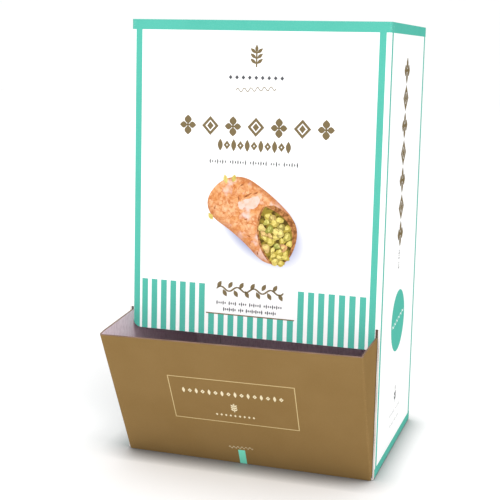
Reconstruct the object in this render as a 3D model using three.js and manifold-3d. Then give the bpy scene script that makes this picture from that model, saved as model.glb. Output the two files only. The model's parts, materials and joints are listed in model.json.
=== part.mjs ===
// A counter dispenser carton of folded board. Small wrapped goods are loaded inside, slide down to the mouth at
// the foot of the front panel, and are picked out of a chute that swings out in front of it.
// Millimetres, +Z up, the front faces -Y. The origin is at the middle of the base of the whole part's box.
import * as THREE from "three";
import { mergeVertices } from "three/addons/utils/BufferGeometryUtils.js";
import Module from "manifold-3d";

// Board
const boardThickness = 1.2;
const creaseRadius = 1.6; // outside of a folded edge
const slidingGap = 0.4; // between two boards that pass each other

// Carton, outside
const cartonWidth = 180;
const cartonDepth = 141;
const cartonHeight = 306;

// Mouth, cut out of the front panel down to the floor, with a slot beside the panel for each wing of the chute
const mouthTop = 90;
const mouthCorner = 5.5;
const slotWidth = 2.2;
const slotTop = 104;

// Chute: a flap that leans out about its lower edge, with a wing at each end that reaches back into the carton
const flapLength = 109;
const openAngle = THREE.MathUtils.degToRad(28);
const hingeHeight = 0.6;
const hingeAhead = 0.35; // in front of the carton
const wingRadius = 115; // rear edge, round the hinge
const wingFoot = 2.2; // lower edge's height above the hinge, along the flap
const wingTopAtRim = 97.6; // height of the upper edge just behind the flap, with the chute open
const wingTopAtPanel = 99.6; // and where it passes the front panel
const wingCorner = 4;

const curveSegments = 4; // in each rounded corner
const arcSteps = 14; // in the wing's rear edge

const wasm = await Module();
wasm.setup();

function solidOf(geometry) {
  const bare = geometry.clone();
  bare.deleteAttribute("normal");
  bare.deleteAttribute("uv");
  const merged = mergeVertices(bare, 1e-4);
  return new wasm.Manifold(
    new wasm.Mesh({
      numProp: 3,
      vertProperties: new Float32Array(merged.attributes.position.array),
      triVerts: new Uint32Array(merged.index.array),
    }),
  );
}

function geometryOf(solid) {
  const mesh = solid.getMesh();
  const geometry = new THREE.BufferGeometry();
  geometry.setAttribute("position", new THREE.BufferAttribute(mesh.vertProperties, 3));
  geometry.setIndex(new THREE.BufferAttribute(mesh.triVerts, 1));
  geometry.computeVertexNormals();
  return geometry;
}

// A closed outline from corners [x, y, setback]. A corner with a setback is rounded over that much of each side,
// or half of a short one.
function roundedOutline(corners) {
  const shape = new THREE.Shape();
  corners.forEach(([x, y, setback = 0], i) => {
    const corner = new THREE.Vector2(x, y);
    const towards = (j) => {
      const [nextX, nextY] = corners[(j + corners.length) % corners.length];
      const step = new THREE.Vector2(nextX, nextY).sub(corner);
      return step.setLength(Math.min(setback, step.length() / 2)).add(corner);
    };
    const start = setback > 0 ? towards(i - 1) : corner;
    if (i === 0) shape.moveTo(start.x, start.y);
    else shape.lineTo(start.x, start.y);
    if (setback > 0) {
      const end = towards(i + 1);
      shape.quadraticCurveTo(corner.x, corner.y, end.x, end.y);
    }
  });
  shape.closePath();
  return shape;
}

function extrude(shape, depth) {
  return new THREE.ExtrudeGeometry(shape, { depth, bevelEnabled: false, curveSegments });
}

// Extrudes an outline drawn in X and Y along Z, from 0 to height.
function extrudeUpward(shape, height) {
  return extrude(shape, height);
}

// Extrudes an outline drawn in Y and Z along X, from -reach to +reach.
function extrudeAcross(shape, reach) {
  const axes = [new THREE.Vector3(0, 1, 0), new THREE.Vector3(0, 0, 1), new THREE.Vector3(1, 0, 0)];
  const turn = new THREE.Matrix4().makeBasis(...axes);
  return extrude(shape, 2 * reach).applyMatrix4(turn).translate(-reach, 0, 0);
}

// Extrudes an outline drawn in X and Z along Y, from front to back.
function extrudeInward(shape, front, back) {
  return extrude(shape, back - front).rotateX(Math.PI / 2).translate(0, back, 0);
}

function creasedRectangle(left, low, right, high) {
  return roundedOutline([
    [left, low, creaseRadius],
    [right, low, creaseRadius],
    [right, high, creaseRadius],
    [left, high, creaseRadius],
  ]);
}

// The closed carton: its front panel lies at y = 0 and its back at y = cartonDepth. Every edge is a rounded crease.
function cartonShell() {
  const halfWidth = cartonWidth / 2;
  const plan = extrudeUpward(creasedRectangle(-halfWidth, 0, halfWidth, cartonDepth), cartonHeight);
  const side = extrudeAcross(creasedRectangle(0, 0, cartonDepth, cartonHeight), halfWidth);
  const front = extrudeInward(creasedRectangle(-halfWidth, 0, halfWidth, cartonHeight), 0, cartonDepth);
  const block = solidOf(plan).intersect(solidOf(side)).intersect(solidOf(front));
  const room = new THREE.BoxGeometry(
    cartonWidth - 2 * boardThickness,
    cartonDepth - 2 * boardThickness,
    cartonHeight - 2 * boardThickness,
  ).translate(0, cartonDepth / 2, cartonHeight / 2);
  return block.subtract(solidOf(room));
}

// What is cut from the front panel: the mouth, its two rounded upper corners and the slots at its sides.
function mouthCutter() {
  const slotOuter = cartonWidth / 2 - boardThickness;
  const slotInner = slotOuter - slotWidth;
  const outline = roundedOutline([
    [-slotOuter, boardThickness],
    [slotOuter, boardThickness],
    [slotOuter, slotTop],
    [slotInner, slotTop],
    [slotInner, mouthTop, mouthCorner],
    [-slotInner, mouthTop, mouthCorner],
    [-slotInner, slotTop],
    [-slotOuter, slotTop],
  ]);
  return solidOf(extrudeInward(outline, -1, boardThickness + 0.5));
}

function carton() {
  return geometryOf(cartonShell().subtract(mouthCutter()));
}

// The chute is drawn shut, with its flap upright at y = 0 and its hinge along X through the origin.
// This turns a point of the carton's side view, with the chute open, into that drawing.
function shutPoint(y, z) {
  return new THREE.Vector2(y + hingeAhead, z - hingeHeight).rotateAround(new THREE.Vector2(), -openAngle);
}

// Side view of the flap with its wing: up the wing's rear arc, down the shoulder that stops it behind the front
// panel, along the upper edge to the rim and down the flap.
function chuteProfile() {
  const stopY = boardThickness + slidingGap;
  const shoulderFoot = shutPoint(stopY, wingTopAtPanel);
  const shoulderHead = shutPoint(stopY, hingeHeight + Math.sqrt(wingRadius ** 2 - (stopY + hingeAhead) ** 2));
  const rim = shutPoint(-flapLength * Math.sin(openAngle), wingTopAtRim);
  const lowAngle = Math.asin(wingFoot / wingRadius);
  const highAngle = Math.atan2(shoulderHead.y, shoulderHead.x);
  const arc = [];
  for (let i = 0; i < arcSteps; i++) {
    const angle = lowAngle + ((highAngle - lowAngle) * i) / arcSteps;
    arc.push([wingRadius * Math.cos(angle), wingRadius * Math.sin(angle)]);
  }
  const ahead = -2 * boardThickness;
  return roundedOutline([
    [ahead, 0],
    [0, 0],
    [0, wingFoot],
    ...arc,
    [shoulderHead.x, shoulderHead.y, wingCorner],
    [shoulderFoot.x, shoulderFoot.y, boardThickness],
    [rim.x + boardThickness, rim.y, wingCorner],
    [0, flapLength],
    [ahead, flapLength],
  ]);
}

// Top view of the folded chute: the flap across the front, a crease at each end, and the two wings.
function chuteSection() {
  const halfWidth = cartonWidth / 2 - boardThickness - slidingGap;
  const inner = halfWidth - boardThickness;
  const innerRadius = creaseRadius - boardThickness;
  const reach = wingRadius + 1;
  return roundedOutline([
    [-halfWidth, -boardThickness, creaseRadius],
    [halfWidth, -boardThickness, creaseRadius],
    [halfWidth, reach],
    [inner, reach],
    [inner, 0, innerRadius],
    [-inner, 0, innerRadius],
    [-inner, reach],
    [-halfWidth, reach],
  ]);
}

function chute() {
  const folded = extrudeUpward(chuteSection(), wingRadius + 1);
  const cut = extrudeAcross(chuteProfile(), cartonWidth / 2);
  return geometryOf(solidOf(folded).intersect(solidOf(cut)));
}

const whiteBoard = new THREE.MeshStandardMaterial({ color: "#f2f2f0", roughness: 0.45, metalness: 0 });
const bronzeBoard = new THREE.MeshStandardMaterial({ color: "#8f7246", roughness: 0.5, metalness: 0 });

const cartonMesh = new THREE.Mesh(carton(), whiteBoard);
cartonMesh.name = "carton";

const chuteMesh = new THREE.Mesh(chute(), bronzeBoard);
chuteMesh.name = "chute";
chuteMesh.position.set(0, -hingeAhead, hingeHeight);
chuteMesh.rotation.x = openAngle;

// The rim of the open chute is the foremost point, so the carton is moved back to centre the part.
const rimReach = hingeAhead + flapLength * Math.sin(openAngle) + boardThickness * Math.cos(openAngle);
const part = new THREE.Group();
part.add(cartonMesh, chuteMesh);
part.position.y = (rimReach - cartonDepth) / 2;

export default part;
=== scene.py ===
import json
import math
from functools import partial
from math import pi, radians

import bmesh
import bpy
import numpy as np
from mathutils import Matrix, Vector


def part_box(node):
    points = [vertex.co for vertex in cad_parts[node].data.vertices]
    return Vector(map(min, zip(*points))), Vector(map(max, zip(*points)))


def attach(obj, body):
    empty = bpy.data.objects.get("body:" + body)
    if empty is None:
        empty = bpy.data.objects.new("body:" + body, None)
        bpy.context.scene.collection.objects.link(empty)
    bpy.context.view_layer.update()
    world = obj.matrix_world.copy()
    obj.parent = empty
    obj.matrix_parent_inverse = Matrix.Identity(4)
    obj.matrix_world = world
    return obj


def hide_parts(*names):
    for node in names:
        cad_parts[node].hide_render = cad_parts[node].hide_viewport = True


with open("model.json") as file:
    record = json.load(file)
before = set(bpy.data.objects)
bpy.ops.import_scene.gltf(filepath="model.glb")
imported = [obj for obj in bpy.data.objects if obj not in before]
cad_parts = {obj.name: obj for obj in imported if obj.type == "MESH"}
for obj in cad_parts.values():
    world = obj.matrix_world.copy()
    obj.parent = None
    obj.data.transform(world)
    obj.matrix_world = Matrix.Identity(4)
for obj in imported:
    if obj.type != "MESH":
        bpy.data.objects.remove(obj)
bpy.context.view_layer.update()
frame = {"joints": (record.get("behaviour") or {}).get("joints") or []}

# A counter dispenser carton of folded board, with a chute that swings out at its foot.
# Sizes are in millimetres in the carton's own place: x to the right, y back from the front panel, z up.
# A surface is a function of two sheet coordinates and a lift off the sheet, worked out on whole grids.

mm = 0.001
cartonLow, cartonHigh = (np.array(corner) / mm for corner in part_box("carton"))
hingeSpot = np.array(frame["joints"][0]["pos_m"]) / mm
frontY = cartonLow[1]  # of the front panel, in the frame

board = {
    "thickness": 1.2,
    "crease": 1.6,  # outside radius of a fold
    "inset": 0.12,  # the board's face is this far inside its solid, and the inks fill the rest
    "foldCells": 6,  # round a quarter turn
    "slack": 0.15,  # between a flap and the wall it is tucked behind
    "weld": 0.004,  # points closer than this are joined
    "smoothTurn": 32,  # degrees, and faces that turn more are shaded apart
}


def unitGrid(uCells, vCells):
    # u and v from 0 to 1, as two grids
    return np.meshgrid(np.linspace(0, 1, uCells + 1), np.linspace(0, 1, vCells + 1), indexing="ij")


def gridQuads(keep):
    # each cell that is kept becomes a quad of its four corners
    rows, columns = keep.shape
    corner = np.arange((rows + 1) * (columns + 1)).reshape(rows + 1, columns + 1)
    quads = np.stack([corner[:-1, :-1], corner[1:, :-1], corner[1:, 1:], corner[:-1, 1:]], axis=-1)
    return quads[keep]


def patch(surface, a, b, lift=0.0, keep=None, fold=None, tone=0.0, uv=None):
    # Sheet coordinates a and b, two grids or a column and a row of places, laid on a surface, which marks
    # its folds unless a mark is given. Faces are turned to the side that a lift goes to: the sum of each
    # face's diagonals' cross product with the lift's direction has to be positive.
    if np.ndim(a) == np.ndim(b) == 1:
        a, b = np.meshgrid(a, b, indexing="ij")
    a, b = np.broadcast_arrays(a, b)
    points, marks = surface(a, b, lift)
    points = points.reshape(-1, 3)
    outward = surface(a, b, lift + 1)[0].reshape(-1, 3) - points
    quads = gridQuads(np.ones((a.shape[0] - 1, a.shape[1] - 1), bool) if keep is None else keep)
    corners = points[quads]
    facing = np.cross(corners[:, 2] - corners[:, 0], corners[:, 3] - corners[:, 1])
    if (facing * outward[quads[:, 0]]).sum() < 0:
        quads = quads[:, ::-1]
    u, v = (a, b) if uv is None else uv
    return {
        "points": points,
        "quads": quads,
        "fold": marks.ravel() if fold is None else np.full(a.size, fold),
        "tone": np.full(a.size, tone),
        "uv": np.stack([u.ravel(), v.ravel()], axis=1),
    }


def added(name, data):
    thing = bpy.data.objects.new(name, data)
    bpy.context.scene.collection.objects.link(thing)
    return thing


def joinedMesh(name, patches):
    # the patches as one mesh, joined where they touch, with their marks and sheet coordinates
    starts = np.cumsum([0] + [len(p["points"]) for p in patches])
    whole = {key: np.concatenate([p[key] for p in patches]) for key in ("points", "fold", "tone", "uv")}
    points = whole["points"] * mm
    points[:, 1] += frontY * mm
    quads = np.concatenate([p["quads"] + start for p, start in zip(patches, starts)])
    used, quads = np.unique(quads, return_inverse=True)
    quads = quads.reshape(-1, 4)
    mesh = bpy.data.meshes.new(name)
    mesh.from_pydata(points[used].tolist(), [], quads.tolist())
    for mark in ("fold", "tone"):
        layer = mesh.attributes.new(mark, "FLOAT", "POINT")
        layer.data.foreach_set("value", whole[mark][used])
    mesh.uv_layers.new(name="sheet").data.foreach_set("uv", whole["uv"][used][quads.ravel()].ravel())
    joined = bmesh.new()
    joined.from_mesh(mesh)
    bmesh.ops.remove_doubles(joined, verts=joined.verts, dist=board["weld"] * mm)
    joined.to_mesh(mesh)
    joined.free()
    return mesh


def makePiece(name, patches, finishes, body, thickness):
    # The sheet gets a wall towards the inside. The finishes are the outside's, the inside's and the cut
    # edge's, or one for all.
    mesh = joinedMesh(name, patches)
    for finish in finishes:
        mesh.materials.append(finish)
    piece = added(name, mesh)
    wall = piece.modifiers.new("wall", "SOLIDIFY")
    wall.thickness = thickness * mm
    wall.offset = -1
    wall.use_even_offset = True
    wall.material_offset = min(1, len(finishes) - 1)
    wall.material_offset_rim = len(finishes) - 1
    finished = bpy.data.meshes.new_from_object(piece.evaluated_get(bpy.context.evaluated_depsgraph_get()))
    piece.modifiers.clear()
    piece.data = finished
    finished.name = name
    finished.polygons.foreach_set("use_smooth", np.ones(len(finished.polygons), bool))
    finished.set_sharp_from_angle(angle=radians(board["smoothTurn"]))
    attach(piece, body)
    return piece


def foldedPath(corners, radius):
    # Straight stretches with a round fold at each inner corner. A fold takes radius x tan(turn / 2) off
    # both stretches that meet there, and is radius x turn long.
    corners = np.array(corners, float)
    steps = np.diff(corners, axis=0)
    lengths = np.hypot(*steps.T)
    directions = steps / lengths[:, None]
    headings = np.unwrap(np.arctan2(steps[:, 1], steps[:, 0]))
    turns = np.diff(headings)
    setbacks = np.r_[0, radius * np.tan(np.abs(turns) / 2), 0]
    count = 2 * len(steps) - 1
    stretch = {"length": np.zeros(count), "bend": np.zeros(count), "heading": np.zeros(count)}
    stretch["start"] = np.zeros((count, 2))
    stretch["length"][0::2] = lengths - setbacks[:-1] - setbacks[1:]
    stretch["length"][1::2] = radius * np.abs(turns)
    stretch["bend"][1::2] = np.sign(turns) / radius
    stretch["heading"][0::2] = headings
    stretch["heading"][1::2] = headings[:-1]
    stretch["start"][0::2] = corners[:-1] + directions * setbacks[:-1, None]
    stretch["start"][1::2] = corners[1:-1] - directions[:-1] * setbacks[1:-1, None]
    stretch["from"] = np.r_[0, np.cumsum(stretch["length"])]
    return stretch


def stretchOf(path, s):
    return np.clip(np.searchsorted(path["from"], s + 1e-9, side="right") - 1, 0, len(path["length"]) - 1)


def pathPoint(path, s, lift, side):
    # On a straight the point moves with the cosine and sine of the heading. In a fold the heading turns
    # evenly, and the point moves with the differences of its sine and cosine, over the bend. The lift
    # goes square off the path.
    k = stretchOf(path, s)
    along = s - path["from"][k]
    bend = path["bend"][k]
    before = path["heading"][k]
    after = before + bend * along
    straight = bend == 0
    over = np.where(straight, 1, bend)
    x = np.where(straight, np.cos(before) * along, (np.sin(after) - np.sin(before)) / over)
    y = np.where(straight, np.sin(before) * along, (np.cos(before) - np.cos(after)) / over)
    start = path["start"][k]
    return start[..., 0] + x + side * lift * np.sin(after), start[..., 1] + y - side * lift * np.cos(after)


def onFold(path, s):
    # 1 inside a fold and 0 on the flat, for the wear along creases
    return (path["bend"][stretchOf(path, s)] != 0).astype(float)


def foldRows(path, k):
    # places round one of a path's folds
    return np.linspace(path["from"][k], path["from"][k + 1], board["foldCells"] + 1)


def stations(path, cells, *more):
    # places along a path: so many cells on each stretch, and more places, each of them once
    ends = path["from"]
    evenly = [np.linspace(ends[i], ends[i + 1], n + 1) for i, n in enumerate(cells)]
    return np.unique(np.concatenate([*evenly, *more]).round(6))


def between(values, low, high):
    # marks the cells whose middle lies between two values
    middle = (values[1:] + values[:-1]) / 2
    return (middle > low) & (middle < high)


def within(values, low, high):
    # picks the values from low to high, both included
    return values[(values > low - 1e-5) & (values < high + 1e-5)]


def linear(hexColour):
    # sRGB hex to linear: (c + 0.055) / 1.055 to the power 2.4, or c / 12.92 in the darkest part
    srgb = np.array([int(hexColour[i:i + 2], 16) for i in (1, 3, 5)]) / 255
    light = np.where(srgb > 0.04045, ((srgb + 0.055) / 1.055) ** 2.4, srgb / 12.92)
    return (*light.tolist(), 1.0)


def perMetre(size):
    # a texture's scale for features of this many millimetres
    return 1 / (size * mm)


def feed(tree, socket, value):
    # another node's output is linked, and a hex colour or a plain value is set on the socket itself
    if isinstance(value, bpy.types.NodeSocket):
        tree.links.new(value, socket)
    else:
        socket.default_value = linear(value) if isinstance(value, str) else value


def addNode(tree, kind, inputs, **settings):
    node = tree.nodes.new("ShaderNode" + kind)
    for name, value in settings.items():
        setattr(node, name, value)
    for socket, value in inputs.items():
        feed(tree, node.inputs[socket], value)
    return node


def newMaterial(name, values):
    material = bpy.data.materials.new(name)
    material.use_nodes = True
    tree = material.node_tree
    shader = tree.nodes["Principled BSDF"]
    for socket, value in values.items():
        feed(tree, shader.inputs[socket], value)
    spot = addNode(tree, "TexCoord", {}).outputs["Object"]
    return material, tree, shader, spot


mixSockets = {"RGBA": (6, 7, 2), "VECTOR": (4, 5, 1)}  # a Mix node's two inputs and its output


def mixed(tree, factor, first, second, kind="RGBA"):
    # two colours or vectors, mixed by a factor
    low, high, output = mixSockets[kind]
    mix = addNode(tree, "Mix", {0: factor, low: first, high: second}, data_type=kind)
    return mix.outputs[output]


def combined(tree, first, second, operation="MULTIPLY"):
    return addNode(tree, "Math", {0: first, 1: second}, operation=operation).outputs["Value"]


def ranged(tree, value, levels, **settings):
    # a value stretched so that it runs between new levels
    return addNode(tree, "MapRange", {"Value": value, **levels}, **settings).outputs["Result"]


def speckle(tree, spot, size, low, high):
    # noise with features of one size, stretched so that it runs from 0 at low to 1 at high
    noise = addNode(tree, "TexNoise", {"Scale": perMetre(size), "Detail": 3.0, "Vector": spot})
    return ranged(tree, noise.outputs["Fac"], {"From Min": low, "From Max": high})


def clouded(tree, spot, main, second):
    # a colour that is a little uneven, in clouds 30 mm across
    return mixed(tree, speckle(tree, spot, 30, 0.35, 0.65), main, second)


def fibreRelief(tree, spot, shader, size, strength):
    # the felt of paper fibres under the varnish, as a low bump
    noise = addNode(tree, "TexNoise", {"Scale": perMetre(size), "Detail": 4.0, "Vector": spot})
    levels = {"Strength": strength, "Distance": 0.1 * mm, "Height": noise.outputs["Fac"]}
    feed(tree, shader.inputs["Normal"], addNode(tree, "Bump", levels).outputs["Normal"])


def foldWear(tree, spot):
    # ink and coating crack along a fold: the fold mark times a speckle
    fold = addNode(tree, "Attribute", {}, attribute_name="fold").outputs["Fac"]
    return combined(tree, fold, speckle(tree, spot, 0.7, 0.56, 0.85))


def printedBoard(name, main, second, worn):
    # Offset ink on coated folding board, sealed with a matt dispersion varnish. To the eye an even colour
    # with a faint cloudiness 30 mm across, without gloss, and with pale cracks where the board is folded.
    material, tree, shader, spot = newMaterial(name, {"Roughness": 0.55, "Specular IOR Level": 0.0})
    grain = combined(tree, speckle(tree, spot, 0.9, 0.45, 0.8), 0.06)
    colour = mixed(tree, grain, clouded(tree, spot, main, second), worn)
    feed(tree, shader.inputs["Base Color"], mixed(tree, foldWear(tree, spot), colour, worn))
    fibreRelief(tree, spot, shader, 0.8, 0.12)
    return material


def bareBoard(name, main, fibre):
    # Uncoated grey board, the inside of the blank: matt, felted, with darker and lighter recycled fibres
    # 1 to 2 mm long, drawn a little coarser than real ones so that they show.
    values = {"Roughness": 0.85, "IOR": 1.45, "Specular IOR Level": 0.25}
    material, tree, shader, spot = newMaterial(name, values)
    felt = addNode(tree, "Mapping", {"Scale": (1.0, 1.0, 0.35), "Vector": spot}).outputs["Vector"]
    feed(tree, shader.inputs["Base Color"], mixed(tree, speckle(tree, felt, 1.2, 0.4, 0.7), main, fibre))
    fibreRelief(tree, spot, shader, 1.0, 0.3)
    return material


def cutEdge(name, liner, hollow):
    # The cut edge of fine flute board: rough paper, speckled with dark hollows that thicken in slow waves.
    values = {"Roughness": 0.9, "IOR": 1.45, "Specular IOR Level": 0.2}
    material, tree, shader, spot = newMaterial(name, values)
    waves = addNode(tree, "TexWave", {"Scale": perMetre(48), "Distortion": 1.5, "Vector": spot},
                    bands_direction="DIAGONAL")
    hollows = combined(tree, waves.outputs["Fac"], speckle(tree, spot, 0.8, 0.3, 0.7))
    feed(tree, shader.inputs["Base Color"], mixed(tree, hollows, liner, hollow))
    fibreRelief(tree, spot, shader, 0.6, 0.4)
    return material


whiteTones = ("#f1f1f0", "#eeeeee")
whiteBoard = printedBoard("whiteCoatedBoard", *whiteTones, "#e6e4e2")
mintInk = printedBoard("mintOffsetInk", "#53b09f", "#50ad9c", "#cfe9e2")
bronzeInk = printedBoard("bronzeOffsetInk", "#886d44", "#856a41", "#a88c62")
goldInk = printedBoard("dullGoldInk", "#76674b", "#726347", "#a29878")
creamInk = printedBoard("creamInk", "#c9b384", "#c4ad7d", "#e6dcc2")
ivoryInk = printedBoard("ivoryInk", "#e6d9b8", "#e0d2ae", "#efe8d4")
# The flap tab's mint is paler than the mint ink elsewhere: painted light against the shade at the foot of
# the flap.
paintedLightTabInk = printedBoard("paintedLightMintInk", "#7ce0c5", "#78dbc0", "#cfe9e2")
greyInk = printedBoard("greyInk", "#55565a", "#4f5054", "#a8a8a8")
greyBoard = bareBoard("bareGreyBoard", "#dccbd3", "#cbb8c1")
boardEdge = cutEdge("cutBoardEdge", "#e2ddd8", "#b5aaa5")
bronzeEdge = cutEdge("cutBronzeBoardEdge", "#776050", "#604b3c")


carton = {
    "width": cartonHigh[0] - cartonLow[0],
    "depth": cartonHigh[1] - cartonLow[1],
    "height": cartonHigh[2],
    "mouthTop": 90,
    "mouthCorner": 5.5,
    "tongue": 86.9,  # half width of the front panel beside the slots
    "tongueRow": 97,  # a row of points across it
    "lowRows": (30, 60),  # and two across the walls beside the mouth
    "slotTop": 104.5,
    "glueFlap": 22,
    "glueGap": 0.1,  # between the glue flap and the back panel
    "backFlap": 45,  # under the floor flaps
    "lidTuck": 16,  # how far the lid's edges reach down inside the walls
    "tuckStart": 1.5,  # the lid's side tucks begin this far from the back
    "seam": 0.15,  # half the gap between the two floor flaps
    "trim": (0.05, 0.1),  # a cut edge stops this far short of the front panel, and of the floor
    "bow": 0.5,  # how far a wall sinks in at its middle
    "bowStart": 15,  # above the slots
}

right = carton["width"] / 2 - board["inset"]
front = board["inset"]
back = carton["depth"] - board["inset"]
floorZ = board["inset"]
top = carton["height"] - board["inset"]
crease = board["crease"]
behind = board["thickness"] + board["slack"]  # from a wall's face to that of a flap inside it
lidHalf = right - behind
lidFront = front + behind
lidLine = top - crease
innerFloorZ = floorZ + behind
glueY = back - board["thickness"] - carton["glueGap"]

# seen from above: the glue flap, left wall, front, right wall, and the back panel that covers the flap
sleevePath = foldedPath([(carton["glueFlap"] - right, glueY), (-right, glueY), (-right, front),
                         (right, front), (right, back), (-right, back)], crease)
# seen from the front: from the top of the right wall down and under the floor to its middle
sidePath = foldedPath([(right, top), (right, floorZ), (0, floorZ)], crease)
# seen from the right: from under the floor up the back, over the lid and down behind the front panel
backPath = foldedPath([(back - carton["backFlap"], innerFloorZ), (back, innerFloorZ), (back, top),
                       (lidFront, top), (lidFront, top - carton["lidTuck"])], crease)
# seen from the front: from the middle of the lid to the foot of its side tuck
tuckPath = foldedPath([(0, top), (lidHalf, top), (lidHalf, top - carton["lidTuck"])], crease)

sleeveEnds = sleevePath["from"]
backEnds = backPath["from"]
frontMiddle = sleeveEnds[4] + sleevePath["length"][4] / 2
rightStart = sleeveEnds[6] - front - crease  # where y would be 0 on the right wall
leftStart = sleeveEnds[3] + front + crease  # and on the left one


def sink(s, z):
    # a wall's hollow: one less the square of the place across it, times a parabola up it, above the slots
    k = stretchOf(sleevePath, s)
    across = 2 * (s - sleeveEnds[k]) / sleevePath["length"][k] - 1
    start = carton["slotTop"] + carton["bowStart"]
    up = np.clip((z - start) / (top - start), 0, 1)
    return np.where(sleevePath["bend"][k] == 0, carton["bow"] * (1 - across ** 2) * 4 * up * (1 - up), 0)


def sleevePoint(s, z, lift):
    # the plan path at s, raised to z
    x, y = pathPoint(sleevePath, s, lift - sink(s, z), 1)
    return np.stack([x, y, z], axis=-1), onFold(sleevePath, s)


def frontPoint(x, z, lift):
    return sleevePoint(frontMiddle + x, z, lift)


def sidePoint(y, h, lift, hand=1):
    # the side profile at h, up the unfolded wall, carried along y; hand is 1 on the right, -1 on the left
    s = rightStart + y if hand > 0 else leftStart - y
    x, z = pathPoint(sidePath, top - h, lift - sink(s, h), -1)
    return np.stack([hand * x, y, z], axis=-1), onFold(sidePath, top - h)


def backPoint(x, s, lift):
    # the back profile at s, carried across x; it sinks as the sleeve does
    place = sleeveEnds[8] + sleevePath["start"][8][0] - x
    height = innerFloorZ + crease + s - backEnds[2]
    hollow = np.where(stretchOf(backPath, s) == 2, sink(place, height), 0)
    y, z = pathPoint(backPath, s, lift - hollow, 1)
    return np.stack([x, y, z], axis=-1), onFold(backPath, s)


def tuckPoint(y, s, lift, hand=1):
    x, z = pathPoint(tuckPath, s, lift, -1)
    return np.stack([hand * x, y, z], axis=-1), onFold(tuckPath, s)


leftPoint = partial(sidePoint, hand=-1)
leftTuckPoint = partial(tuckPoint, hand=-1)


def cornerLift(x):
    # the round lower corner of the front panel: radius less the height of a quarter circle
    radius = carton["mouthCorner"]
    past = np.clip(np.abs(x) - carton["tongue"] + radius, 0, radius)
    return radius - np.sqrt(radius ** 2 - past ** 2)


# columns across the front panel and the back one, rows along the lid, and columns round the whole sleeve
cornerStart = carton["tongue"] - carton["mouthCorner"]
cornerColumns = cornerStart + carton["mouthCorner"] * np.sin(np.linspace(0, pi / 2, 9))
frontHalf = np.r_[np.linspace(0, cornerStart, 14)[:-1], cornerColumns, sleevePath["length"][4] / 2]
frontColumns = np.r_[-frontHalf[:0:-1], frontHalf]
lidColumns = np.linspace(-lidHalf + crease, lidHalf - crease, 25)
backColumns = np.r_[-right, lidColumns, right - crease]
lidRows = np.linspace(backEnds[4], backEnds[5], 14)
lidRows = np.insert(lidRows, 1, lidRows[0] + carton["tuckStart"])
foldCells = board["foldCells"]
sleeveColumns = stations(sleevePath, [2, foldCells, 12, foldCells, 1, foldCells, 12, foldCells, 1],
                         frontMiddle + frontColumns, sleeveEnds[8] + right - crease - backColumns)

# rows up the walls, below and above the top of the slots
lowRows = np.r_[floorZ + carton["trim"][1], floorZ + crease, innerFloorZ + crease, carton["lowRows"],
                carton["mouthTop"], carton["slotTop"]]
wallRows = np.r_[np.linspace(carton["slotTop"], lidLine, 15), top]


def underLid(s):
    # marks the cells of the sleeve's upper rear edge that the lid folds off
    return between(s, *(sleeveEnds[8] + right - crease - lidColumns[[-1, 0]]))


def sleevePatches():
    # The sleeve above the slots, with only two corners of its back, beside the lid. Below the slots the
    # rear corners and the glue flap.
    s = sleeveColumns
    upper = np.ones((len(s) - 1, len(wallRows) - 1), bool)
    upper[between(s, sleeveEnds[8], sleeveEnds[9]), :-1] = False
    upper[underLid(s), -1] = False
    upper[between(s, sleeveEnds[0], sleeveEnds[1]), -2:] = False
    lower = np.zeros((len(s) - 1, len(lowRows) - 1), bool)
    lower[between(s, sleeveEnds[1], sleeveEnds[2])] = True
    lower[between(s, sleeveEnds[7], sleeveEnds[8])] = True
    lower[between(s, sleeveEnds[0], sleeveEnds[1]), 3:] = True
    return [patch(sleevePoint, s, wallRows, keep=upper), patch(sleevePoint, s, lowRows, keep=lower)]


def tonguePatch():
    # the front panel between the slots, down to the mouth
    x = within(frontColumns, -carton["tongue"], carton["tongue"])
    levels = [carton["mouthTop"] + cornerLift(x), 0 * x + carton["tongueRow"], 0 * x + carton["slotTop"]]
    z = np.stack(levels, axis=1)
    return patch(frontPoint, x[:, None], z)


def sidePatches():
    # the side walls below the slots, folded under as the two halves of the floor
    floorRows = np.linspace(top - sidePath["from"][3] + carton["seam"], top - sidePath["from"][2], 7)
    h = np.r_[floorRows, top - foldRows(sidePath, 1)[-2::-1], lowRows[2:]]
    made = []
    for surface, start, k in ((sidePoint, rightStart, 6), (leftPoint, leftStart, 2)):
        y = np.abs(within(sleeveColumns, sleeveEnds[k], sleeveEnds[k + 1]) - start)
        made.append(patch(surface, np.r_[front + carton["trim"][0], np.sort(y)], h))
    return made


def backPatch():
    # the back panel, its floor flap and the lid; only the panel itself reaches the corners
    panelRows = backEnds[2] + np.r_[lowRows[2:-1], wallRows[:-1]] - innerFloorZ - crease
    rows = np.r_[0, backEnds[1] / 2, foldRows(backPath, 1)[:-1], panelRows, foldRows(backPath, 3)[1:],
                 lidRows[1:], foldRows(backPath, 5)[1:], np.linspace(backEnds[6], backEnds[7], 3)[1:]]
    keep = np.ones((len(backColumns) - 1, len(rows) - 1), bool)
    offPanel = ~between(rows, backEnds[2], backEnds[3])
    keep[0, offPanel] = False
    keep[-1, offPanel] = False
    return patch(backPoint, backColumns, rows, keep=keep)


def tuckPatches(s, lift=0.0, fold=None):
    # the lid's folded edges at the sides
    y = backPath["start"][4][0] - (lidRows[1:] - backEnds[4])
    return [patch(surface, y, s, lift, fold=fold) for surface in (tuckPoint, leftTuckPoint)]


def cartonPatches():
    tucks = tuckPatches(np.r_[foldRows(tuckPath, 1), tuckPath["from"][3]])
    return [*sleevePatches(), tonguePatch(), *sidePatches(), backPatch(), *tucks]


cartonBoard = makePiece("cartonBoard", cartonPatches(), [whiteBoard, greyBoard, boardEdge], "carton",
                        board["thickness"])
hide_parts("carton")
print("carton folded:", len(cartonBoard.data.polygons), "faces")


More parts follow.
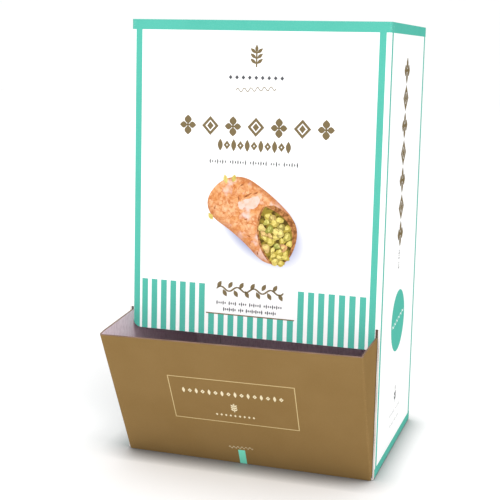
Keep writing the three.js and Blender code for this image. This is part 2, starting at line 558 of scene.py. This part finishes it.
chute = {
    "halfWidth": 88.35,
    "flapLength": 109,
    "openAngle": 28,
    "wingRadius": 115,
    "wingFoot": 2.2,
    "wingTopAtRim": 97.6,  # heights with the chute open
    "wingTopAtPanel": (102.4, 98.8),  # left and right
    "stop": 0.4,  # between the front panel's back and the shoulder
    "corner": 4,
    "flare": 1.5,  # how far each end of the rim stands out
    "skew": 1.2,  # and how far the right end is raised and the left one lowered
    "twist": 0.9,  # degrees that the right end is less open
    "flexDepth": 18,  # how far back into a wing these fade out
}

flapY = board["inset"] - board["thickness"]  # of the flap's outer face, with the chute shut
wingEnd = chute["wingRadius"] + 2
chuteSide = chute["halfWidth"]
chutePath = foldedPath([(-chuteSide, wingEnd), (-chuteSide, flapY),
                        (chuteSide, flapY), (chuteSide, wingEnd)], crease)
openAngle = radians(chute["openAngle"])
hingeY, hingeZ = hingeSpot[1] - frontY, hingeSpot[2]
flapMiddle = chutePath["from"][2] + chutePath["length"][2] / 2
wingFront = flapY + crease  # where the flat of a wing begins


def chutePoint(s, v, lift):
    # The folded chute's plan path at s, raised to v, then swung forward round the hinge. The thin board
    # is a little out of true: flare, skew and twist grow evenly up the flap and fade as a square towards
    # the back of a wing.
    x, y = pathPoint(chutePath, s, lift, 1)
    fade = np.clip(1 - (y - flapY) / chute["flexDepth"], 0, 1) ** 2
    bent = fade * np.clip(v / chute["flapLength"], 0, 1)
    side = x / chuteSide
    x = x + chute["flare"] * side * bent
    v = v + chute["skew"] * side * bent
    angle = openAngle - radians(chute["twist"]) * (1 + side) / 2 * fade
    swungY = y * np.cos(angle) - v * np.sin(angle)
    swungZ = y * np.sin(angle) + v * np.cos(angle)
    return np.stack([x, swungY + hingeY, swungZ + hingeZ], axis=-1), onFold(chutePath, s)


def flapPoint(x, v, lift):
    return chutePoint(flapMiddle + x, v, lift)


def shutPoint(y, z):
    # a point of the open chute's side view, turned back to where it is with the chute shut
    y, z = y - hingeY, z - hingeZ
    cos, sin = math.cos(openAngle), math.sin(openAngle)
    return np.array([y * cos + z * sin, z * cos - y * sin])


# a wing's lower front corner, where its grids start from
wingCorner = np.array([wingFront, chute["wingFoot"]])


def wingReach(angle, topAtPanel):
    # How far the wing goes from its lower front corner at an angle: to the rear arc, rounded off towards
    # the shoulder by a quarter circle, and to the straight upper edge, with the shoulder's own angle.
    ahead = np.stack([np.cos(angle), np.sin(angle)], axis=-1)
    inward = ahead @ wingCorner
    arc = -inward + np.sqrt(inward ** 2 + chute["wingRadius"] ** 2 - wingCorner @ wingCorner)
    low = shutPoint(front + board["thickness"] + chute["stop"], topAtPanel)
    rim = shutPoint(-chute["flapLength"] * math.sin(openAngle), chute["wingTopAtRim"])
    slope = (low - rim) / np.linalg.norm(low - rim)
    square = np.array([-slope[1], slope[0]])
    edge = ((rim - wingCorner) @ square) / (ahead @ square)
    flapTop = (chute["flapLength"] - wingCorner[1]) / np.maximum(np.sin(angle), 0.1)
    shoulder = math.atan2(*(low - wingCorner)[::-1])
    radius = chute["corner"]
    past = np.clip((angle - shoulder) * chute["wingRadius"] + radius, 0, radius)
    rounded = arc - radius + np.sqrt(radius ** 2 - past ** 2)
    return rounded, np.minimum(edge, flapTop), shoulder


flapShares = np.linspace(0, 1, 15)  # up the flap, from the wings' foot to the rim


def flapPatch():
    # the flap and the folds at its ends
    v = np.r_[0, chute["wingFoot"] + flapShares * (chute["flapLength"] - chute["wingFoot"])]
    s = stations(chutePath, [1, foldCells, 36, foldCells, 1])
    s = within(s, chutePath["from"][1], chutePath["from"][4])
    # the strip under the wings is left out where it would reach into the carton's floor
    y = pathPoint(chutePath, s, 0, 1)[1]
    keep = np.ones((len(s) - 1, len(v) - 1), bool)
    keep[np.maximum(y[1:], y[:-1]) > 0, 0] = False
    return patch(chutePoint, s, v, keep=keep)


def wingPatches(wingStart, hand, topAtPanel):
    # two fans from the lower front corner: up to the straight edge, and back to the rounded arc
    shoulder = wingReach(np.zeros(1), topAtPanel)[2]
    upper = np.linspace(shoulder, pi / 2, 13)
    edge = wingReach(upper, topAtPanel)[1][:, None]
    rounding = chute["corner"] / chute["wingRadius"]
    rear = shoulder - rounding * (1 - np.sin(np.linspace(0, pi / 2, 7)))
    lower = np.r_[np.linspace(0, shoulder - rounding, 19)[:-1], rear]
    arc = wingReach(lower, topAtPanel)[0][:, None]
    inner = flapShares * edge[0] + 0 * arc
    outer = edge[0] + (arc - edge[0]) * np.linspace(0, 1, 4)[1:]
    made = []
    for angle, reach in ((upper, flapShares * edge), (lower, np.concatenate([inner, outer], axis=1))):
        y = wingCorner[0] + reach * np.cos(angle)[:, None]
        z = wingCorner[1] + reach * np.sin(angle)[:, None]
        made.append(patch(chutePoint, wingStart + hand * (y - wingFront), z, fold=0.0))
    return made


def chutePatches():
    leftTop, rightTop = chute["wingTopAtPanel"]
    ends = chutePath["from"]
    return [flapPatch(), *wingPatches(ends[1], -1, leftTop), *wingPatches(ends[4], 1, rightTop)]


chuteBoard = makePiece("chuteBoard", chutePatches(), [bronzeInk, greyBoard, bronzeEdge], "chute",
                       board["thickness"])
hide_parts("chute")
print("chute folded:", len(chuteBoard.data.polygons), "faces")


# Each print is a thin film on the board. Its shapes are grids of two places: across and up the front
# panel or the chute's flap, or back and up a side wall.

inkStep = 0.025  # a film's height, and what one film stands above another
inkTrim = 0.02  # how far a film stops short of an edge


def bar(x0, x1, y0, y1, cell=9.0):
    # a rectangle: both coordinates go evenly
    u, v = unitGrid(max(1, round(abs(x1 - x0) / cell)), max(1, round(abs(y1 - y0) / cell)))
    return x0 + (x1 - x0) * u, y0 + (y1 - y0) * v


def leaf(length, width):
    # a pointed oval: the half width goes with the sine of the way along it
    u, v = unitGrid(8, 2)
    return (v - 0.5) * width * np.sin(pi * u), (u - 0.5) * length


def lozenge(width, height, hollow=0.0):
    # a slanted square: the reach at an angle is one over the sum of its cosine and sine. The hollow is
    # the share of the reach that is left open in the middle.
    u, v = unitGrid(16, 2)
    angle = 2 * pi * u
    reach = (hollow + (1 - hollow) * v) / (np.abs(np.cos(angle)) + np.abs(np.sin(angle)))
    return width / 2 * reach * np.cos(angle), height / 2 * reach * np.sin(angle)


def oval(width, height, cells=28):
    u, v = unitGrid(cells, 3)
    return width / 2 * v * np.cos(2 * pi * u), height / 2 * v * np.sin(2 * pi * u)


def ripple(length, swing, waves, thin, thick):
    # a wavy stroke: a sine along the length, as thick as its slope is steep, like a pen's
    u, v = unitGrid(24 * waves, 1)
    width = thin + (thick - thin) * np.abs(np.cos(2 * pi * waves * u))
    return (u - 0.5) * length, swing * np.sin(2 * pi * waves * u) + (v - 0.5) * width


def placed(shapes, x, y, turn=0.0):
    # shapes turned by degrees and moved
    cos, sin = math.cos(radians(turn)), math.sin(radians(turn))
    return [(x + cos * a - sin * b, y + sin * a + cos * b) for a, b in shapes]


def ink(name, shapes, finish, layer=1, surface=frontPoint, tones=None, uvs=None):
    # one film of one ink; each shape may have its own tone and its own sheet coordinates
    lift = layer * inkStep
    tones = np.zeros(len(shapes)) if tones is None else tones
    uvs = uvs or [None] * len(shapes)
    patches = [patch(surface, a, b, lift, tone=tone, uv=uv) for (a, b), tone, uv in zip(shapes, tones, uvs)]
    body = "chute" if surface is flapPoint else "carton"
    makePiece(name, patches, [finish], body, lift + inkStep)


def rosette(height):
    # four leaves round a bead, the upright pair the longer
    long, short = height * 0.47, height * 0.4
    upright = [leaf(long, height * 0.38)]
    level = [leaf(short, height * 0.33)]
    made = [oval(height * 0.14, height * 0.14)]
    for turn in (0, 180, 90, 270):
        shapes, away = (upright, long) if turn % 180 == 0 else (level, short)
        made += placed(placed(shapes, 0, away / 2 + height * 0.035), 0, 0, turn)
    return made


def lozengePair(height, hollow=0.6):
    # a hollow lozenge round a full one
    return [lozenge(height * 0.92, height, hollow), lozenge(height * 0.36, height * 0.44)]


def sprig(height, leaves=3):
    # a stem with pairs of leaves and one at the tip
    stem = height * 0.035
    made = [bar(-stem, stem, -height / 2, height * 0.3)]
    blade = [leaf(height * 0.36, height * 0.15)]
    for i in range(leaves):
        foot = -height * 0.36 + i * height * 0.23
        for hand in (-1, 1):
            made += placed(blade, hand * height * 0.15, foot + height * 0.12, -hand * 50)
    return made + placed(blade, 0, height * 0.32)


def vine(x, y):
    # a wavy stem with leaves above and below it in turn
    made = placed([ripple(48, 1.5, 4, 0.9, 1.5)], x, y)
    for i in range(12):
        side = (-1) ** i
        made += placed([leaf(5.6, 2.9)], x - 22 + i * 4, y + side * 2.9, -side * 30)
    return made


def rowAt(shapes, spots, y):
    # shapes taken in turn and put at each spot along a line
    made = []
    for i, x in enumerate(spots):
        made += placed(shapes[i % len(shapes)], x, y)
    return made


def row(shapes, left, right, count, y=0.0):
    return rowAt(shapes, np.linspace(left, right, count), y)


def beads(groups, left, right, y, height, slim=0.36):
    # upright strokes, evenly spaced, with one left out between groups; slim is their width over height
    places = np.linspace(left, right, sum(groups) + len(groups) - 1)
    gaps = np.cumsum(np.array(groups) + 1) - 1
    tall = [leaf(height, height * slim)]
    low = [lozenge(height * slim * 1.1, height * 0.62)]
    return rowAt([tall, low, low, tall, low], np.delete(places, gaps[:-1]), y)


frontPrint = {
    "bandFoot": 299,  # of the mint band round the top
    "sideBand": (82.2, 86.65),
    "stripes": 23,
    "stripePitch": 7.1,
    "stripeWidth": 4.3,
    "stripeStart": -80.5,
    "stripeTop": 125.5,
    "label": (7, 15),  # the first and last stripe that end under the label
    "labelFoot": 105,
    "labelLine": (-32.5, 31, 104.7, 105.5),
    "labelVine": (-1, 123),
    "sprig": (0, 282.5),
    "flourish": (0, 260.3),
    "title": (-48, 49, 7, 235),  # a row's left end, right end, count and height
    "subtitle": (-24.5, 23.5, 11, 222.3),
    "lozenges": (-18, 18, 9, 268),
    "beads": ((7, 7, 7, 4, 6), -31.5, 30, 210.8, 4.0, 0.24),
    "labelBeads": (
        ((5, 4, 4, 6, 9), -24.5, 21.5, 113, 3.3, 0.3),
        ((7, 3, 9, 6), -19.5, 17.5, 108.6, 3.3, 0.3),
    ),
}

sidePrint = {
    "footBand": 7.6,
    "footStart": 0.08,  # of that band, behind the front panel
    "footUnder": 4,  # how far it goes on under the floor
    "bands": (2.6, 7.2),  # from the front, and from a line just inside the back
    "backGap": 0.6,
    "disc": (69, 96),
    "discSize": (52, 44.6),
    "column": 66,  # how far back the title stands
    "title": (159.5, 274.5, 7),
    "tail": ((3, 4), -6, 6, 0, 4.2),  # the beads under it
    "tailPlace": (64, 141.5),
    "sprig": (70, 41.5),
    "smallBeads": (((6, 5), 52, 88, 29, 2.4), ((4, 6), 54, 86, 21, 2.4)),
}


def topBand():
    # the band round the top of the sleeve, and the lid, whose folds carry it on
    s = within(sleeveColumns, sleeveEnds[1], sleeveEnds[9])
    foot = frontPrint["bandFoot"]
    rows = np.array([foot, (foot + lidLine) / 2, lidLine, top - inkTrim])
    keep = np.ones((len(s) - 1, len(rows) - 1), bool)
    keep[underLid(s), -1] = False
    lid = np.r_[foldRows(backPath, 3), lidRows[1:], foldRows(backPath, 5)[1:]]
    return [patch(sleevePoint, s, rows, inkStep, keep), patch(backPoint, lidColumns, lid, inkStep),
            *tuckPatches(foldRows(tuckPath, 1), inkStep, 1.0)]


def footBand():
    # along the foot of the walls, and a little way under the floor at the sides
    foot = sidePrint["footBand"]
    turns = foldRows(sidePath, 1)
    h = np.r_[foot, top - turns, top - turns[-1] - sidePrint["footUnder"]]
    made = []
    for surface, end in ((sidePoint, back - crease), (leftPoint, glueY - crease)):
        made.append(patch(surface, np.linspace(front + sidePrint["footStart"], end, 14), h, inkStep))
    for k in (1, 7):
        corner = within(sleeveColumns, sleeveEnds[k], sleeveEnds[k + 1])
        made.append(patch(sleevePoint, corner, np.r_[lowRows[0] + inkTrim, foot], inkStep))
    turns = foldRows(backPath, 1)
    rows = np.r_[turns, turns[-1] + foot - innerFloorZ - crease]
    return [*made, patch(backPoint, backColumns[1:-1], rows, inkStep)]


def mintFront():
    # a band down each side of the panel, round its lower corners, and the stripes along its foot
    inner, outer = frontPrint["sideBand"]
    x = np.r_[inner, cornerColumns[(cornerColumns > inner) & (cornerColumns < outer)], outer][:, None]
    low = carton["mouthTop"] + cornerLift(x)
    share = np.linspace(0, 1, 24)[None, :]
    made = [(hand * x + 0 * share, low + (frontPrint["bandFoot"] - low) * share) for hand in (-1, 1)]
    first, last = frontPrint["label"]
    for i in range(frontPrint["stripes"]):
        start = frontPrint["stripeStart"] + i * frontPrint["stripePitch"]
        tip = frontPrint["labelFoot" if first <= i <= last else "stripeTop"]
        made.append(bar(start, start + frontPrint["stripeWidth"], carton["mouthTop"] + inkTrim, tip, 5))
    return made


def printFront():
    plan = frontPrint
    subtitle = [[leaf(8.4, 3.6)], [lozenge(4.8, 6.2, 0.24)]]
    labelBeads = [shape for line in plan["labelBeads"] for shape in beads(*line)]
    ink("frontMint", mintFront(), mintInk)
    ink("frontSprig", placed(sprig(15), *plan["sprig"]), goldInk)
    ink("frontTitle", row([rosette(13.5), lozengePair(13)], *plan["title"]), goldInk)
    ink("frontSubtitle", row(subtitle, *plan["subtitle"]), goldInk)
    ink("frontFlourish", placed([ripple(28, 1.2, 6, 0.45, 0.95)], *plan["flourish"], 4), goldInk)
    ink("labelVine", vine(*plan["labelVine"]), goldInk)
    ink("labelLine", [bar(*plan["labelLine"], 4)], goldInk, 2)
    ink("frontLozenges", row([[lozenge(2.7, 3.1)]], *plan["lozenges"]), greyInk)
    ink("frontBeads", beads(*plan["beads"]), greyInk)
    ink("labelBeads", labelBeads, greyInk)


def printSides():
    plan = sidePrint
    foot, head = plan["footBand"] - 0.1, frontPrint["bandFoot"] + 0.1  # a little into the bands they meet
    near, far = plan["bands"]
    backLine = carton["depth"] - plan["backGap"]
    lines = [bar(near, far, foot, head), bar(backLine - far, backLine - near, foot, head)]
    disc = placed([oval(*plan["discSize"], cells=48)], *plan["disc"])
    wave = placed([ripple(44, 1.1, 6, 0.4, 1.0)], plan["disc"][0], plan["disc"][1] + 1, 8)
    title = placed(row([rosette(21), lozengePair(20, 0.5)], *plan["title"]), plan["column"], 0, 90)
    marks = placed(beads(*plan["tail"]), *plan["tailPlace"], 90) + placed(sprig(13, 2), *plan["sprig"])
    for line in plan["smallBeads"]:
        marks += beads(*line)
    for hand, surface in (("right", sidePoint), ("left", leftPoint)):
        ink(hand + "MintLines", lines, mintInk, surface=surface)
        ink(hand + "MintDisc", disc, mintInk, surface=surface)
        ink(hand + "DiscWave", wave, whiteBoard, 2, surface)
        ink(hand + "Title", title, goldInk, surface=surface)
        ink(hand + "SmallMarks", marks, greyInk, surface=surface)


printFront()
printSides()
for name, patches in (("topBand", topBand()), ("footBand", footBand())):
    makePiece(name, patches, [mintInk], "carton", 2 * inkStep)
print("carton printed")


roll = {  # the picture of a filled pastry roll, in simple shapes
    "tip": (-26.6, 194.9),  # the closed end, on the front panel
    "turn": -38.0,  # degrees that the roll points up
    "length": 69.0,
    "halfWidth": 18.8,
    "endRound": 19.0,  # how far in each end's rounding reaches
    "arch": 4.8,  # how far both ends droop
    "mouth": (51.0, -2.0),  # the middle of the open end, along and across the roll
    "mouthTurn": -40.7,
    "mouthHalf": 20.3,
    "nearLip": 7.9,  # how far the two lips bulge
    "farLip": 15.6,
    "lipHead": 3.6,  # the far lip's thickness half way along, and how much less it is at its foot
    "lipTaper": 2.6,
    "nearEdge": (1.0, 1.5),  # how far before the near lip its edge begins, and how wide the edge is
    "pieceSize": 4.7,
    "seed": 7,
    "spilled": ((17.5, 0.5), (19.5, 4.5), (16.0, 8.0)),  # pieces past the lips, along and across the mouth
    # across and up the front panel, length and lean
    "crumbs": ((-20.2, 199.0, 6.4, 12), (-14.2, 199.8, 5.6, -15), (-30.4, 172.8, 5.6, 35)),
    "crumbTones": (0.02, 0.1, 0.05),
    "blisters": ((6.2, 26.5, 6.5, 60), (3.2, 22.5, 1.0, 10)),  # radius, along, across and turn
    "cracks": ((7.5, 1.2, 21.5, 9.0, 160), (3.6, 1.0, 25.0, 14.0, 150)),  # length, width, and as above
    "burns": ((9.0, -13.0), (18.0, 3.0), (31.0, -4.5), (40.0, -12.0), (14.0, 12.0), (52.0, -17.0)),
    "shadow": (41.4, -1.5),  # along and across
    "shadowHalf": (42.78, 27),
}


def onRoll(shapes):
    return placed(shapes, *roll["tip"], roll["turn"])


def onMouth(shapes):
    return onRoll(placed(shapes, *roll["mouth"], roll["mouthTurn"]))


def rollBody():
    # A tube seen from the side. Its half width goes as a blunt quarter oval, with powers of 2.2, at
    # either end, and its middle line droops as a parabola.
    u, v = unitGrid(44, 14)
    along = roll["length"] * (1 - np.cos(pi * u)) / 2
    fromEnd = np.minimum(along, roll["length"] - along) / roll["endRound"]
    blunt = (1 - (1 - np.clip(fromEnd, 0, 1)) ** 2.2) ** (1 / 2.2)
    middle = 1 - roll["arch"] * (2 * along / roll["length"] - 1) ** 2
    return onRoll([(along, middle + roll["halfWidth"] * blunt * (2 * v - 1))]), [(along, 2 * v - 1)]


def lips(p):
    # The near lip's and the far lip's place at p along the mouth: a bulge times the rest of one less the
    # square of p, to a power that makes the far lip fuller at its foot.
    share = np.clip(p / roll["mouthHalf"], -1, 1)
    rest = 1 - share ** 2
    return -roll["nearLip"] * rest ** 0.77, roll["farLip"] * rest ** (0.7 - 0.3 * share)


def mouthGrid(cells):
    # places along the mouth at the sine of an even angle, the way across, and the lips at each place
    u, v = unitGrid(40, cells)
    p = roll["mouthHalf"] * np.sin(pi * (u - 0.5))
    return p, v, *lips(p)


def rollLips():
    # the far lip, thicker at its head, and the thin edge of the near one
    p, v, _, far = mouthGrid(4)
    thickness = roll["lipHead"] - roll["lipTaper"] * p / roll["mouthHalf"]
    farLip = (p, far + thickness * v)
    p, v, near, _ = mouthGrid(1)
    start, width = roll["nearEdge"]
    return onMouth([farLip, (p, near - start + width * v)])


def rollFilling():
    p, v, near, far = mouthGrid(8)
    return onMouth([(p, near + (far + 0.1 - near) * v)])  # a little under the far lip


def blob(rng, radius):
    # a rounded lump: its radius wanders with two sines of the angle
    u, v = unitGrid(12, 2)
    angle = 2 * pi * u
    phase = rng.uniform(0, 2 * pi, 2)
    wander = 1 + 0.16 * np.sin(2 * angle + phase[0]) + 0.17 * np.sin(3 * angle + phase[1])
    return radius * v * wander * np.cos(angle), radius * v * wander * np.sin(angle) * rng.uniform(0.58, 1.0)


def fillingPieces():
    # chopped pieces on a jittered six-sided lattice between the lips, with a glint on each
    rng = np.random.default_rng(roll["seed"])
    size = roll["pieceSize"]
    i, j = np.meshgrid(np.arange(-7, 8), np.arange(-7, 8), indexing="ij")
    spots = np.stack([(i + 0.5 * (j % 2)) * size, j * size * 0.86], axis=-1).reshape(-1, 2)
    spots = spots + rng.normal(0, size * 0.13, spots.shape)
    near, far = lips(spots[:, 0])
    inside = (spots[:, 1] > near + 0.36 * size) & (spots[:, 1] < far - 0.36 * size)
    pieces, glints = [], []
    for p, q in np.concatenate([spots[inside], roll["spilled"]]):
        radius = size * rng.uniform(0.52, 0.68)
        turn = rng.uniform(0, 180)
        pieces += placed([blob(rng, radius)], p, q, turn)
        glints += placed([blob(rng, radius * 0.55)], p - 0.5, q - 0.1, turn)
    crumbs = []
    for x, z, length, lean in roll["crumbs"]:
        crumbs += placed([leaf(length, 3.2)], x, z, lean)
    tones = rng.permutation(np.linspace(0, 1, len(pieces)))
    return onMouth(pieces) + crumbs, np.r_[tones, roll["crumbTones"]], onMouth(glints)


def blisters():
    # pale blisters where the dough has lifted, cracks over them, and a few burnt spots
    rng = np.random.default_rng(roll["seed"] + 1)
    pale, dark = [], []
    for radius, *place in roll["blisters"]:
        pale += placed([blob(rng, radius)], *place)
    for length, width, *place in roll["cracks"]:
        dark += placed([leaf(length, width)], *place)
    for along, across in roll["burns"]:
        burn = leaf(rng.uniform(2.5, 4.5), rng.uniform(0.7, 1.1))
        dark += placed([burn], along, across, rng.uniform(0, 180))
    return onRoll(pale), onRoll(dark)


def softShadow():
    # an ellipse below and to the right of the roll, whose tone falls evenly from its middle to its rim
    u, v = unitGrid(40, 10)
    angle = 2 * pi * u
    long, wide = roll["shadowHalf"]
    return onRoll(placed([(long * v * np.cos(angle), wide * v * np.sin(angle))], *roll["shadow"])), [(v, u)]


halftone = {"Roughness": 0.55, "Specular IOR Level": 0.1}  # a picture's ink has a little gloss


def sheetCoordinate(tree, axis):
    sheet = addNode(tree, "UVMap", {}, uv_map="sheet").outputs["UV"]
    return addNode(tree, "SeparateXYZ", {"Vector": sheet}).outputs[axis]


def pastryPrint():
    # A printed picture of fried dough: orange brown, blistered in cells 3.5 mm across with paler tops and
    # dark rims, dusted pale in places, and darker where the tube turns away.
    material, tree, shader, spot = newMaterial("friedDoughPrint", halftone)
    warp = addNode(tree, "TexNoise", {"Scale": perMetre(5), "Vector": spot}).outputs["Color"]
    wander = mixed(tree, 0.009, spot, warp, "VECTOR")
    cells = addNode(tree, "TexVoronoi", {"Scale": perMetre(3.5), "Vector": wander},
                    feature="DISTANCE_TO_EDGE").outputs["Distance"]
    rims = ranged(tree, cells, {"From Min": 0.16, "From Max": 0.0})
    colour = mixed(tree, speckle(tree, spot, 5, 0.35, 0.65), "#d6955c", "#e6b58a")
    colour = mixed(tree, combined(tree, rims, speckle(tree, spot, 4, 0.35, 0.65)), colour, "#b8642e")
    colour = mixed(tree, combined(tree, speckle(tree, spot, 2.4, 0.45, 0.7), 0.8), colour, "#bb6c36")
    colour = mixed(tree, combined(tree, speckle(tree, spot, 11, 0.56, 0.68), 0.8), colour, "#e2cbc6")
    across = combined(tree, sheetCoordinate(tree, "Y"), 1.0, "ABSOLUTE")
    edge = ranged(tree, across, {"From Min": 0.78, "From Max": 1.0, "To Max": 0.75})
    feed(tree, shader.inputs["Base Color"], mixed(tree, edge, colour, "#a9683f"))
    return material


def spottedPrint(name, first, second, size, low, high):
    # Parts of the same picture in two tones, spotted in patches of one size.
    material, tree, shader, spot = newMaterial(name, halftone)
    spots = speckle(tree, spot, size, low, high)
    feed(tree, shader.inputs["Base Color"], mixed(tree, spots, first, second))
    return material


def piecePrint(name, shade, amount):
    # Chopped nuts and candied fruit in print: each has one tone, from cream over yellow to olive green,
    # mottled in a darker or a lighter shade.
    material, tree, shader, spot = newMaterial(name, halftone)
    tone = addNode(tree, "Attribute", {}, attribute_name="tone").outputs["Fac"]
    ramp = addNode(tree, "ValToRGB", {"Fac": tone})
    stops = ["#decb78", "#c8b458", "#b8a344", "#bfae4e", "#d6c266", "#7d8a38", "#cf9c6c", "#d6c678"]
    ramp.color_ramp.elements[0].color = linear(stops[0])
    ramp.color_ramp.elements[1].color = linear(stops[-1])
    for i, stop in enumerate(stops[1:-1], 1):
        ramp.color_ramp.elements.new(i / (len(stops) - 1)).color = linear(stop)
    grain = combined(tree, speckle(tree, spot, 1.4, 0.3, 0.7), amount)
    feed(tree, shader.inputs["Base Color"], mixed(tree, grain, ramp.outputs["Color"], shade))
    return material


def shadowPrint():
    # A cool lilac shade that fades out into the white of the board.
    material, tree, shader, spot = newMaterial("softShadowPrint", halftone)
    levels = {"From Min": 0.5, "From Max": 1.0}
    fade = ranged(tree, sheetCoordinate(tree, "X"), levels, interpolation_type="SMOOTHSTEP")
    feed(tree, shader.inputs["Base Color"], mixed(tree, fade, "#8d92b6", clouded(tree, spot, *whiteTones)))
    return material


def printRoll():
    shadow, shadowUv = softShadow()
    body, bodyUv = rollBody()
    pale, dark = blisters()
    pieces, tones, glints = fillingPieces()
    blisterPrint = spottedPrint("paleBlisterPrint", "#dcc3b6", "#d4ac90", 2.5, 0.5, 0.75)
    burntPrint = spottedPrint("burntDoughPrint", "#8a4f2b", "#a8683d", 2, 0.4, 0.6)
    creamPrint = spottedPrint("creamFillingPrint", "#8d7a2c", "#4c3b12", 3, 0.4, 0.62)
    lipPrint = spottedPrint("doughLipPrint", "#b9804c", "#7a4a26", 2.2, 0.36, 0.6)
    nutPrint = piecePrint("choppedPiecePrint", "#7c6724", 0.5)
    glintPrint = piecePrint("pieceGlintPrint", "#efe08a", 0.75)
    ink("rollShadow", shadow, shadowPrint(), 1, uvs=shadowUv)
    ink("rollBody", body, pastryPrint(), 2, uvs=bodyUv)
    ink("rollBlisters", pale, blisterPrint, 3)
    ink("rollCracks", dark, burntPrint, 4)
    ink("rollFilling", rollFilling(), creamPrint, 3)
    ink("rollLips", rollLips(), lipPrint, 4)
    ink("rollPieces", pieces, nutPrint, 5, tones=tones)
    ink("rollGlints", glints, glintPrint, 6, tones=tones)


printRoll()
print("pastry roll printed")


flapPrint = {
    "frame": (-45.9, 42.1, 39, 78),
    "line": 0.6,
    "middle": -2.0,
    "title": (-36, 32, 16, 65.8),
    "sprigHeight": 53.5,
    "lozenges": (-15, 11, 9, 46),
    "rippleHeight": 15.5,
    "tab": (-4.4, 0.6, 0.05, 13.2),
}


def printFlap():
    left, right, low, high = flapPrint["frame"]
    line = flapPrint["line"]
    middle = flapPrint["middle"]
    edges = [bar(left, right, low, low + line), bar(left, right, high - line, high),
             bar(left, left + line, low + line, high - line),
             bar(right - line, right, low + line, high - line)]
    marks = row([[leaf(5, 2.0)], [lozenge(3.0, 3.6, 0.3)]], *flapPrint["title"])
    marks += placed(sprig(8), middle, flapPrint["sprigHeight"])
    marks += row([[lozenge(1.7, 2.2)]], *flapPrint["lozenges"])
    marks += placed([ripple(17.5, 0.9, 6, 0.25, 0.5)], middle, flapPrint["rippleHeight"], 3)
    ink("flapFrame", edges, creamInk, surface=flapPoint)
    ink("flapMarks", marks, ivoryInk, surface=flapPoint)
    # the tab's paler mint is painted light against the shade at the flap's foot
    ink("flapTab", [bar(*flapPrint["tab"], 5)], paintedLightTabInk, surface=flapPoint)


printFlap()
print("chute printed")


studio = {
    "floorHalf": 6.0,  # metres, as the rest here
    "paintedShadeReach": 0.022,  # of the painted shade, the darker floor beside the carton
    "paintedShadeDepth": 1.1,  # the power that the floor's openness is raised to, for the painted shade
    "worldStrength": 1.01,
    "lamps": {  # kind, place, power and spread
        "overheadLight": ("AREA", (0, 0, 1.5), 2.2, {"size": 0.9}),
        "frontLight": ("AREA", (0.13, -0.95, 0.48), 2.7, {"size": 0.5}),
        # 60 degrees up, and 40 degrees to the right of straight ahead
        "keyLight": ("SUN", (0.321394, -0.383022, 0.866025), 1.3, {"angle": radians(22)}),
    },
}

view = {
    "focal": 1136.0,  # in pixels of a 500 pixel picture
    "centre": (226.8, 216.2),  # where the camera's axis meets the picture
    "picture": 500,
    "sensor": 36,
    "place": (224.0, -729.4, 284.0),
    "look": (-0.3124, 0.9393, -0.1422),
    "right": (0.9478, 0.3182, 0.0201),
}


def makeFloor():
    half = studio["floorHalf"]
    u, v = unitGrid(12, 12)
    mesh = bpy.data.meshes.new("studioFloor")
    points = np.stack([(2 * u - 1) * half, (2 * v - 1) * half, 0 * u], axis=-1).reshape(-1, 3)
    mesh.from_pydata(points.tolist(), [], gridQuads(np.ones((12, 12), bool)).tolist())
    floor = added("studioFloor", mesh)
    # Matt white laminate: even, with the faintest cloudiness, and with painted shade: darker close to what
    # stands on it, wherever ambient occlusion finds the carton near.
    material, tree, shader, spot = newMaterial("whiteLaminate", {"Roughness": 0.7, "IOR": 1.45})
    white = mixed(tree, speckle(tree, spot, 200, 0.3, 0.7), "#e4e4e4", "#e2e2e2")
    reach = {"Distance": studio["paintedShadeReach"]}
    openness = addNode(tree, "AmbientOcclusion", reach, samples=12).outputs["AO"]
    shade = combined(tree, openness, studio["paintedShadeDepth"], "POWER")
    # painted shade: near black mixed into the floor's colour as its openness falls
    feed(tree, shader.inputs["Base Color"], mixed(tree, shade, "#1a1817", white))
    mesh.materials.append(material)


def makeLamp(name, kind, place, power, spread):
    # a lamp that points at the origin
    lamp = bpy.data.lights.new(name, kind)
    lamp.energy = power
    for setting, value in spread.items():
        setattr(lamp, setting, value)
    light = added(name, lamp)
    light.location = place
    light.rotation_euler = (-Vector(place)).to_track_quat("-Z", "Y").to_euler()


def makeStudio():
    makeFloor()
    world = bpy.data.worlds.new("whiteStudio")
    world.use_nodes = True
    background = world.node_tree.nodes["Background"]
    background.inputs["Color"].default_value = (1, 1, 1, 1)
    background.inputs["Strength"].default_value = studio["worldStrength"]
    bpy.context.scene.world = world
    for name, lamp in studio["lamps"].items():
        makeLamp(name, *lamp)
    bpy.context.scene.view_settings.view_transform = "Standard"


def makeCamera():
    lens = bpy.data.cameras.new("camera")
    lens.sensor_width = view["sensor"]
    lens.lens = view["sensor"] * view["focal"] / view["picture"]
    lens.shift_x = (view["picture"] / 2 - view["centre"][0]) / view["picture"]
    lens.shift_y = (view["centre"][1] - view["picture"] / 2) / view["picture"]
    camera = added("camera", lens)
    look = Vector(view["look"]).normalized()
    across = (Vector(view["right"]) - look * look.dot(view["right"])).normalized()
    turn = Matrix((across, across.cross(look), -look)).transposed()
    x, y, z = view["place"]
    camera.matrix_world = Matrix.Translation(Vector((x, y + frontY, z)) * mm) @ turn.to_4x4()
    bpy.context.scene.camera = camera


makeStudio()
makeCamera()
print("studio ready")
